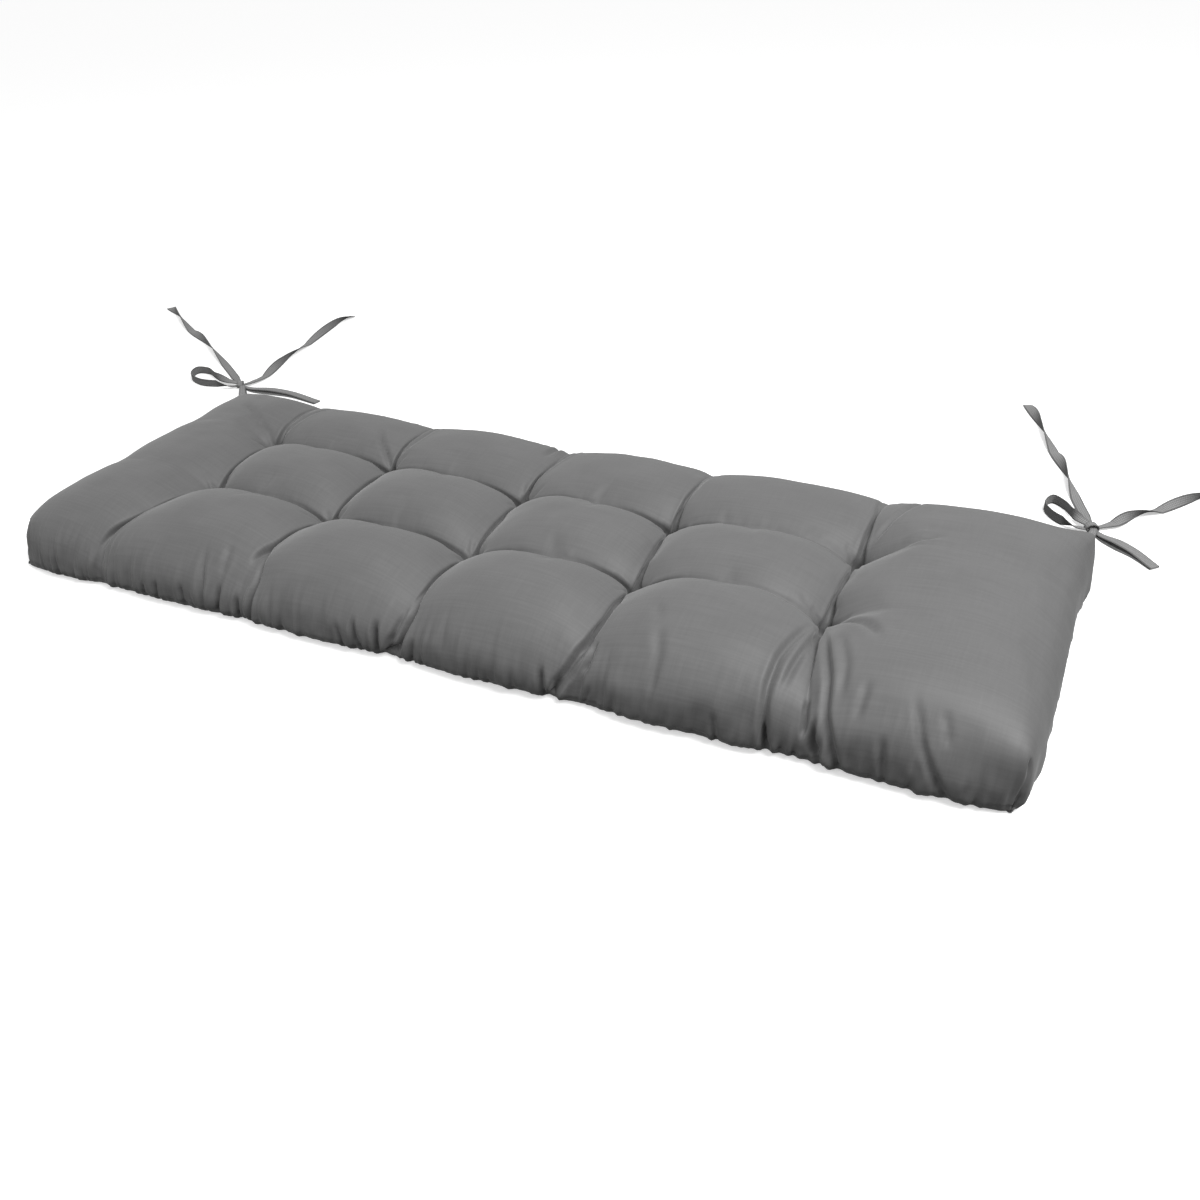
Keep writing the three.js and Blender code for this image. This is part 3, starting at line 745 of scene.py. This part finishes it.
TIES = {
    "left": dict(
        flat_tail=[
            at(-1290, 706),
            at(-1232, 670, roll=90),
            at(-1130, 600, roll=180),
            at(-1033, 542, roll=270),
            at(-915, 462, roll=360),
            at(-855, 419, roll=360),
            at(-825, 397, roll=360, width=PINCHED),
            at(-800, 381, roll=360, width=PINCHED),
        ],
        flat_loop=[
            at(-804, 383, width=PINCHED),
            at(-772, 376, width=12),
            at(-735, 379),
            at(-690, 381),
            at(-627, 370),
        ],
        flat_stem=[
            at(-810, 386, width=PINCHED),
            at(-790, 366, width=12),
            at(-745, 312),
            at(-690, 262),
        ],
        open_run=[
            at(-854, 787),
            at(-850, 722, roll=90),
            at(-836, 612, roll=180),
            at(-812, 505, roll=270),
            at(-800, 440, 1, 360),
            at(-799, 410, OPEN_LEVEL, 360, 13),
            at(-806, 389, OPEN_LEVEL, 360, PINCHED),
            at(-822, 374, OPEN_LEVEL, 360, PINCHED),
            at(-850, 366, 2, 440, LOOP_WIDTH),
            at(-890, 366, 0, 450, LOOP_WIDTH),
            at(-928, 384, 0, 450, LOOP_WIDTH),
            at(-938, 412, 0, 450, LOOP_WIDTH),
            at(-915, 416, 0, 450, LOOP_WIDTH),
            at(-880, 398, 1, 450, LOOP_WIDTH),
            at(-845, 388, OPEN_LEVEL + 1, 380, 11),
            at(-818, 387, KNOT_LEVEL, 360, 10),
            at(-804, 380, KNOT_LEVEL, 360, 10),
            at(-788, 362, OPEN_LEVEL, 360, 12),
            at(-744, 311, STEM_LEVEL, 360),
            at(-690, 262, STEM_LEVEL, 360),
        ],
        knot=((-811, 384), 35),
        sewn_at=FOOT["back_left"],
        away=(-1, 1),
    ),
    "right": dict(
        flat_tail=[
            at(517, 760),
            at(546, 678, roll=90),
            at(577, 590, roll=180),
            at(601, 518, roll=270),
            at(623, 446, roll=360),
            at(638, 402, roll=360),
            at(647, 378, roll=360, width=PINCHED),
            at(655, 356, roll=360, width=PINCHED),
        ],
        flat_loop=[
            at(652, 360, width=PINCHED),
            at(667, 340, width=12),
            at(685, 326),
            at(706, 312),
            at(730, 288),
        ],
        flat_stem=[
            at(651, 368, width=PINCHED),
            at(650, 346, width=12),
            at(641, 302),
            at(630, 262),
        ],
        open_run=[
            at(802, 526),
            at(767, 490, roll=90),
            at(728, 448, roll=180),
            at(696, 408, 1, 270),
            at(676, 384, 3, 360),
            at(662, 370, OPEN_LEVEL, 360, PINCHED),
            at(648, 359, OPEN_LEVEL, 360, PINCHED),
            at(632, 356, OPEN_LEVEL, 370, 10),
            at(612, 364, 0, 450, LOOP_WIDTH),
            at(596, 379, 0, 450, LOOP_WIDTH),
            at(586, 402, 0, 450, LOOP_WIDTH),
            at(594, 423, 0, 450, LOOP_WIDTH),
            at(610, 411, 0, 450, LOOP_WIDTH),
            at(623, 389, 1, 450, LOOP_WIDTH),
            at(634, 375, OPEN_LEVEL + 1, 390, 11),
            at(648, 365, KNOT_LEVEL, 360, 10),
            at(653, 354, KNOT_LEVEL, 360, 10),
            at(651, 340, OPEN_LEVEL, 360, 12),
            at(641, 302, STEM_LEVEL, 360),
            at(630, 262, STEM_LEVEL, 360),
        ],
        knot=((650, 360), 115),
        sewn_at=(622, 226.4),
        away=(0, 1),
    ),
}


def seam_end(tie, level, roll):
    """The end of a stem, sewn at or beside the back corner a little above the surface."""
    x, y = tie["sewn_at"]
    step = SEAM_GAP / math.sqrt(2)
    return at(x + tie["away"][0] * step, y + tie["away"][1] * step, SEAM_LEVEL + level, roll, PINCHED)


def smooth_path(rows):
    """Places on a centripetal curve through the rows, with the same number of steps between each two."""
    p = np.array([(row["x"], row["y"]) for row in rows], float)
    p = np.vstack([2 * p[0] - p[1], p, 2 * p[-1] - p[-2]])
    places = []
    for k in range(1, len(p) - 2):
        a, b, c, d = p[k - 1:k + 3]
        t1 = np.linalg.norm(b - a) ** CENTRIPETAL
        t2 = t1 + np.linalg.norm(c - b) ** CENTRIPETAL
        t3 = t2 + np.linalg.norm(d - c) ** CENTRIPETAL
        last = k == len(p) - 3
        for step in range(ROW_STEPS + (1 if last else 0)):
            t = lerp(t1, t2, step / ROW_STEPS)
            ab = lerp(a, b, t / t1)
            bc = lerp(b, c, (t - t1) / (t2 - t1))
            cd = lerp(c, d, (t - t2) / (t3 - t2))
            abc = lerp(ab, bc, t / t2)
            bcd = lerp(bc, cd, (t - t1) / (t3 - t1))
            places.append(lerp(abc, bcd, (t - t1) / (t2 - t1)))
    return np.array(places)


def spread(rows, name):
    """One column of the rows, spread evenly over the steps."""
    values = [row[name] for row in rows]
    return np.interp(np.arange((len(rows) - 1) * ROW_STEPS + 1) / ROW_STEPS, np.arange(len(rows)), values)


def lay_tape(rows):
    """The middle line of a tape, its direction across, and its width at each step."""
    plan = smooth_path(rows)
    roll = np.radians(spread(rows, "roll"))
    width = spread(rows, "width")
    run = np.gradient(plan, axis=0)
    run /= np.linalg.norm(run, axis=1, keepdims=True)
    side = np.stack([-run[:, 1], run[:, 0]], 1)
    across = np.c_[side * np.cos(roll)[:, None], np.sin(roll)]
    lift = (np.abs(np.sin(roll)) * width + np.abs(np.cos(roll)) * TAPE_THICKNESS) / 2
    return np.c_[plan, spread(rows, "level") + lift], across, width


def fold_loop(rows):
    """A flattened loop: out along the surface, folded at its end, and back on top, a little lifted."""
    middle, across, width = lay_tape(rows)
    share = np.linspace(0, 1, len(middle))
    rise = LAYER + LOOP_LIFT * np.sin(math.pi * share) ** 2 * (1 - LOOP_DROP * share)
    upper = middle + across * (LOOP_SLIP * np.sin(math.pi * share))[:, None]
    upper[:, 2] += rise
    end = middle[-1] - middle[-2]
    bend = lerp(middle[-1], upper[-1], 0.5) + 0.5 * LAYER * end / np.linalg.norm(end)
    middle = np.vstack([middle, bend[None], upper[::-1]])
    across = np.vstack([across, across[-1:], across[::-1]])
    width = np.concatenate([width, width[-1:], width[::-1]])
    return middle, across, width


class Cloth:
    """The points, faces and flat places of one tape, gathered from its stretches."""

    def __init__(self):
        self.points = []
        self.flat = []
        self.faces = []
        self.length = 0

    def add_strip(self, middle, across, width):
        """A strip of tape with a slightly thicker hem at both edges, closed at both ends."""
        run = np.gradient(middle, axis=0)
        through = np.cross(run, across)
        through /= np.linalg.norm(through, axis=1, keepdims=True)
        along = np.concatenate([[0], np.cumsum(np.linalg.norm(np.diff(middle, axis=0), axis=1))])
        shares = np.linspace(-1, 1, ACROSS_STEPS + 1)
        first = len(self.points)
        ring = 2 * len(shares)
        for k in range(len(middle)):
            for face in (1, -1):
                for share in shares * face:
                    hem = 1 + HEM["share"] * math.exp(-(((abs(share) - HEM["place"]) / HEM["width"]) ** 2))
                    edge = EDGE_SHARE if abs(share) == 1 else 1
                    thick = face * TAPE_THICKNESS / 2 * hem * edge
                    self.points.append(middle[k] + across[k] * share * width[k] / 2 + through[k] * thick)
                    self.flat.append((share * width[k] / 2, self.length + along[k], share))
        for k in range(len(middle) - 1):
            for n in range(ring):
                a = first + k * ring + n
                b = first + k * ring + (n + 1) % ring
                self.faces.append((a, a + ring, b + ring, b))
        last = first + (len(middle) - 1) * ring
        self.faces.append(tuple(first + n for n in range(ring)))
        self.faces.append(tuple(last + n for n in reversed(range(ring))))
        self.length += along[-1]

    def make(self, name):
        mesh = bpy.data.meshes.new(name)
        points = np.array(self.points)
        points[:, 2] = np.maximum(points[:, 2], 0)
        mesh.from_pydata((points * MM).tolist(), [], self.faces)
        mesh.update()
        write_flat(mesh, self.flat)
        mesh.shade_smooth()
        obj = bpy.data.objects.new(name, mesh)
        scene.collection.objects.link(obj)
        return obj


KNOT_TURN = dict(wide=8, high=5.2, base=5.6, skew=0.12, width=11.0, steps=40)


def knot_turn(place, heading):
    """The turn of tape that wraps the knot, as a closed band round the tapes that pass through it."""
    turn = np.linspace(0, 2 * math.pi, KNOT_TURN["steps"] + 1)
    heading = math.radians(heading)
    ahead = np.array([math.cos(heading), math.sin(heading), 0])
    aside = np.array([-math.sin(heading), math.cos(heading), 0])
    middle = np.array([*place, KNOT_TURN["base"]])
    middle = middle + np.outer(np.cos(turn), aside * KNOT_TURN["wide"])
    middle[:, 2] += KNOT_TURN["high"] * np.sin(turn)
    middle += np.outer(KNOT_TURN["skew"] * np.sin(turn), ahead * KNOT_TURN["wide"])
    return middle, np.tile(ahead, (len(turn), 1)), np.full(len(turn), KNOT_TURN["width"])


def make_ties():
    """The two tapes of each bow, each standing for its own solid."""
    material = tape_material()
    for side, tie in TIES.items():
        flat = Cloth()
        flat.add_strip(*lay_tape(tie["flat_tail"]))
        flat.add_strip(*fold_loop(tie["flat_loop"]))
        flat.add_strip(*lay_tape(tie["flat_stem"] + [seam_end(tie, 0, 0)]))
        opened = Cloth()
        opened.add_strip(*lay_tape(tie["open_run"] + [seam_end(tie, STEM_LEVEL, 360)]))
        opened.add_strip(*knot_turn(*tie["knot"]))
        for cloth, loop in ((flat, "flat_loop"), (opened, "open_loop")):
            node = f"tie_{side}_{loop}"
            obj = cloth.make(f"{node}_tape")
            obj.data.materials.append(material)
            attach(obj, "root")
            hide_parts(node)


# Camera, floor and light
CAMERA_AZIMUTH = 27.02
CAMERA_ELEVATION = 32.57
CAMERA_ROLL = -3.01
CAMERA_DISTANCE = 1381
CAMERA_TARGET = (117, -30, 0)
FOCAL_PIXELS = 1113
FRAME_PIXELS = 1200
SENSOR = 36
FLOOR = dict(reach=12.0, drop=0.0004, grey=0.9, roughness=0.9, glow=0.45)
SKY = dict(below=(0.45, 0.03), side=(0.55, 0.42), top=(1.0, 0.66))
LIGHTS = [
    dict(name="key", place=(1.45, -0.3, 2.3), aim=(0.25, 0, 0), size=1.6, power=71),
    dict(name="fill", place=(-0.8, -2.2, 0.9), aim=(-0.2, 0, 0), size=1.5, power=13),
]


def make_camera():
    """The photo's camera, fitted to the corners and tufts."""
    azimuth = math.radians(CAMERA_AZIMUTH)
    elevation = math.radians(CAMERA_ELEVATION)
    roll = math.radians(CAMERA_ROLL)
    back = np.array([
        math.sin(azimuth) * math.cos(elevation),
        -math.cos(azimuth) * math.cos(elevation),
        math.sin(elevation),
    ])
    right = np.array([math.cos(azimuth), math.sin(azimuth), 0])
    up = np.cross(right, -back)
    rolled_right = math.cos(roll) * right + math.sin(roll) * up
    rolled_up = -math.sin(roll) * right + math.cos(roll) * up
    place = (np.array(CAMERA_TARGET) + back * CAMERA_DISTANCE) * MM
    data = bpy.data.cameras.new("camera")
    data.sensor_width = SENSOR
    data.lens = SENSOR * FOCAL_PIXELS / FRAME_PIXELS
    camera = bpy.data.objects.new("camera", data)
    matrix = np.eye(4)
    matrix[:3] = np.stack([rolled_right, rolled_up, back, place], 1)
    camera.matrix_world = Matrix(matrix.tolist())
    scene.collection.objects.link(camera)
    scene.camera = camera


def make_floor():
    """A plain pale floor that adds no light of its own to the cushion."""
    size = FLOOR["reach"]
    corners = [(-size, -size, 0), (size, -size, 0), (size, size, 0), (-size, size, 0)]
    mesh = bpy.data.meshes.new("floor")
    mesh.from_pydata(corners, [], [(0, 1, 2, 3)])
    floor = bpy.data.objects.new("floor", mesh)
    floor.location.z = -FLOOR["drop"]
    scene.collection.objects.link(floor)
    material = bpy.data.materials.new("floor_paint")
    material.use_nodes = True
    shader = material.node_tree.nodes["Principled BSDF"]
    shader.inputs["Base Color"].default_value = (FLOOR["grey"], FLOOR["grey"], FLOOR["grey"], 1)
    shader.inputs["Roughness"].default_value = FLOOR["roughness"]
    shader.inputs["Emission Color"].default_value = (1, 1, 1, 1)
    shader.inputs["Emission Strength"].default_value = FLOOR["glow"]
    mesh.materials.append(material)
    floor.visible_diffuse = False
    floor.visible_glossy = False


def area_light(name, place, aim, size, power):
    data = bpy.data.lights.new(name, "AREA")
    data.shape = "DISK"
    data.size = size
    data.energy = power
    light = bpy.data.objects.new(name, data)
    direction = np.array(aim, float) - np.array(place, float)
    light.location = place
    light.rotation_euler = Vector(direction).to_track_quat("-Z", "Y").to_euler()
    scene.collection.objects.link(light)


def make_light():
    """A soft sky that is brightest overhead, a large soft key from the upper right, and a weak front fill."""
    world = bpy.data.worlds.new("studio")
    world.use_nodes = True
    nodes, links = world.node_tree.nodes, world.node_tree.links
    sky = nodes["Background"]
    place = nodes.new("ShaderNodeTexCoord")
    split = nodes.new("ShaderNodeSeparateXYZ")
    ramp = nodes.new("ShaderNodeValToRGB")
    level = nodes.new("ShaderNodeMapRange")
    level.inputs["From Min"].default_value = -1
    links.new(place.outputs["Generated"], split.inputs[0])
    links.new(split.outputs["Z"], level.inputs["Value"])
    links.new(level.outputs["Result"], ramp.inputs["Fac"])
    links.new(ramp.outputs["Color"], sky.inputs["Color"])
    stops = ramp.color_ramp.elements
    for stop, name in ((stops[0], "below"), (stops[1], "top")):
        stop.position, value = SKY[name]
        stop.color = (value, value, value, 1)
    position, value = SKY["side"]
    stops.new(position).color = (value, value, value, 1)
    scene.world = world
    for light in LIGHTS:
        area_light(**light)
    scene.view_settings.view_transform = "Standard"


# Materials. A layer of speckle is noise on the flat cloth, spread from low to high.
COVER_GREY = 0.12
COVER_PITCH = 0.7
COVER_SPECKLE = [
    dict(scale=(0.012, 0.016, 0.012), detail=2.0, low=0.9, high=1.1),
    dict(scale=(0.015, 0.4, 0.02), detail=3.0, low=0.86, high=1.14),
    dict(scale=(0.4, 0.02, 0.03), detail=3.0, low=0.92, high=1.08),
]
COVER_FINISH = {
    "Roughness": 0.55,
    "Specular IOR Level": 0.35,
    "Sheen Weight": 0.25,
    "Sheen Roughness": 0.45,
}
COVER_BUMP = dict(strength=0.12, distance=0.0003)
TAPE_GREY = 0.22
TAPE_PITCH = 2.8
TAPE_SPECKLE = dict(scale=(0.5, 0.5, 0.5), detail=3.0, low=0.8, high=1.2)
TAPE_THREADS = dict(low=0.45, high=1.2)
TAPE_EDGE = dict(start=0.72, dark=0.55)
TAPE_FINISH = {"Roughness": 0.75, "Specular IOR Level": 0.25, "Sheen Weight": 0.2}
TAPE_BUMP = dict(strength=0.5, distance=0.0005)


class Shade:
    """Short names for the nodes of one material."""

    def __init__(self, name):
        self.material = bpy.data.materials.new(name)
        self.material.use_nodes = True
        self.nodes = self.material.node_tree.nodes
        self.links = self.material.node_tree.links
        self.shader = self.nodes["Principled BSDF"]

    def put(self, socket, value):
        if isinstance(value, bpy.types.NodeSocket):
            self.links.new(value, socket)
        else:
            socket.default_value = value

    def attribute(self, name):
        node = self.nodes.new("ShaderNodeAttribute")
        node.attribute_name = name
        return node.outputs["Vector"]

    def math(self, operation, a, b=0.0):
        node = self.nodes.new("ShaderNodeMath")
        node.operation = operation
        self.put(node.inputs[0], a)
        self.put(node.inputs[1], b)
        return node.outputs[0]

    def split(self, vector):
        node = self.nodes.new("ShaderNodeSeparateXYZ")
        self.put(node.inputs[0], vector)
        return node.outputs

    def scaled(self, vector, scale):
        node = self.nodes.new("ShaderNodeVectorMath")
        node.operation = "MULTIPLY"
        self.put(node.inputs[0], vector)
        node.inputs[1].default_value = scale
        return node.outputs[0]

    def between(self, factor, low, high):
        node = self.nodes.new("ShaderNodeMapRange")
        self.put(node.inputs["Value"], factor)
        node.inputs["To Min"].default_value = low
        node.inputs["To Max"].default_value = high
        return node.outputs["Result"]

    def speckle(self, vector, scale, detail, low, high):
        node = self.nodes.new("ShaderNodeTexNoise")
        self.put(node.inputs["Vector"], self.scaled(vector, scale))
        node.inputs["Scale"].default_value = 1
        node.inputs["Detail"].default_value = detail
        return self.between(node.outputs["Fac"], low, high)

    def grey(self, value):
        node = self.nodes.new("ShaderNodeCombineColor")
        for channel in node.inputs[:3]:
            self.put(channel, value)
        return node.outputs[0]

    def bump(self, height, strength, distance):
        node = self.nodes.new("ShaderNodeBump")
        self.put(node.inputs["Height"], height)
        node.inputs["Strength"].default_value = strength
        node.inputs["Distance"].default_value = distance
        self.links.new(node.outputs["Normal"], self.shader.inputs["Normal"])

    def coat(self, value, sockets):
        """Sets the grey of the cloth and the plain numbers of its finish."""
        self.put(self.shader.inputs["Base Color"], self.grey(value))
        for name, number in sockets.items():
            self.shader.inputs[name].default_value = number


def weave(shade, flat, pitch):
    """Crossing threads of a plain weave, one lying over the next, as a height from 0 to 1."""
    x, y, _ = shade.split(shade.scaled(flat, (math.pi / pitch, math.pi / pitch, 0)))
    warp = shade.math("ABSOLUTE", shade.math("SINE", x))
    weft = shade.math("ABSOLUTE", shade.math("SINE", y))
    over = shade.math("MULTIPLY", shade.math("SINE", x), shade.math("SINE", y))
    over = shade.math("GREATER_THAN", over, 0.0)
    first = shade.math("MULTIPLY", warp, over)
    second = shade.math("MULTIPLY", weft, shade.math("SUBTRACT", 1.0, over))
    return shade.math("ADD", first, second)


def cover_material():
    """Close grey polyester with a soft satin sheen, a fine weave and faint thread streaks."""
    shade = Shade("grey_satin_cloth")
    flat = shade.attribute("flat")
    value = COVER_GREY
    for layer in COVER_SPECKLE:
        value = shade.math("MULTIPLY", value, shade.speckle(flat, **layer))
    shade.coat(value, COVER_FINISH)
    shade.bump(weave(shade, flat, COVER_PITCH), **COVER_BUMP)
    return shade.material


def tape_material():
    """Lighter grey tape with a coarse plain weave and darker sewn edges."""
    shade = Shade("grey_tape_cloth")
    flat = shade.attribute("flat")
    across = shade.split(flat)[2]
    threads = weave(shade, flat, TAPE_PITCH)
    at_edge = shade.math("GREATER_THAN", shade.math("ABSOLUTE", across), TAPE_EDGE["start"])
    value = shade.math("MULTIPLY", TAPE_GREY, shade.speckle(flat, **TAPE_SPECKLE))
    value = shade.math("MULTIPLY", value, shade.between(threads, **TAPE_THREADS))
    value = shade.math("MULTIPLY", value, shade.between(at_edge, 1.0, TAPE_EDGE["dark"]))
    shade.coat(value, TAPE_FINISH)
    shade.bump(threads, **TAPE_BUMP)
    return shade.material


make_camera()
make_floor()
make_light()
cushion = make_cushion()
cushion.data.materials.append(cover_material())
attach(cushion, "root")
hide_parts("cushion")
make_ties()
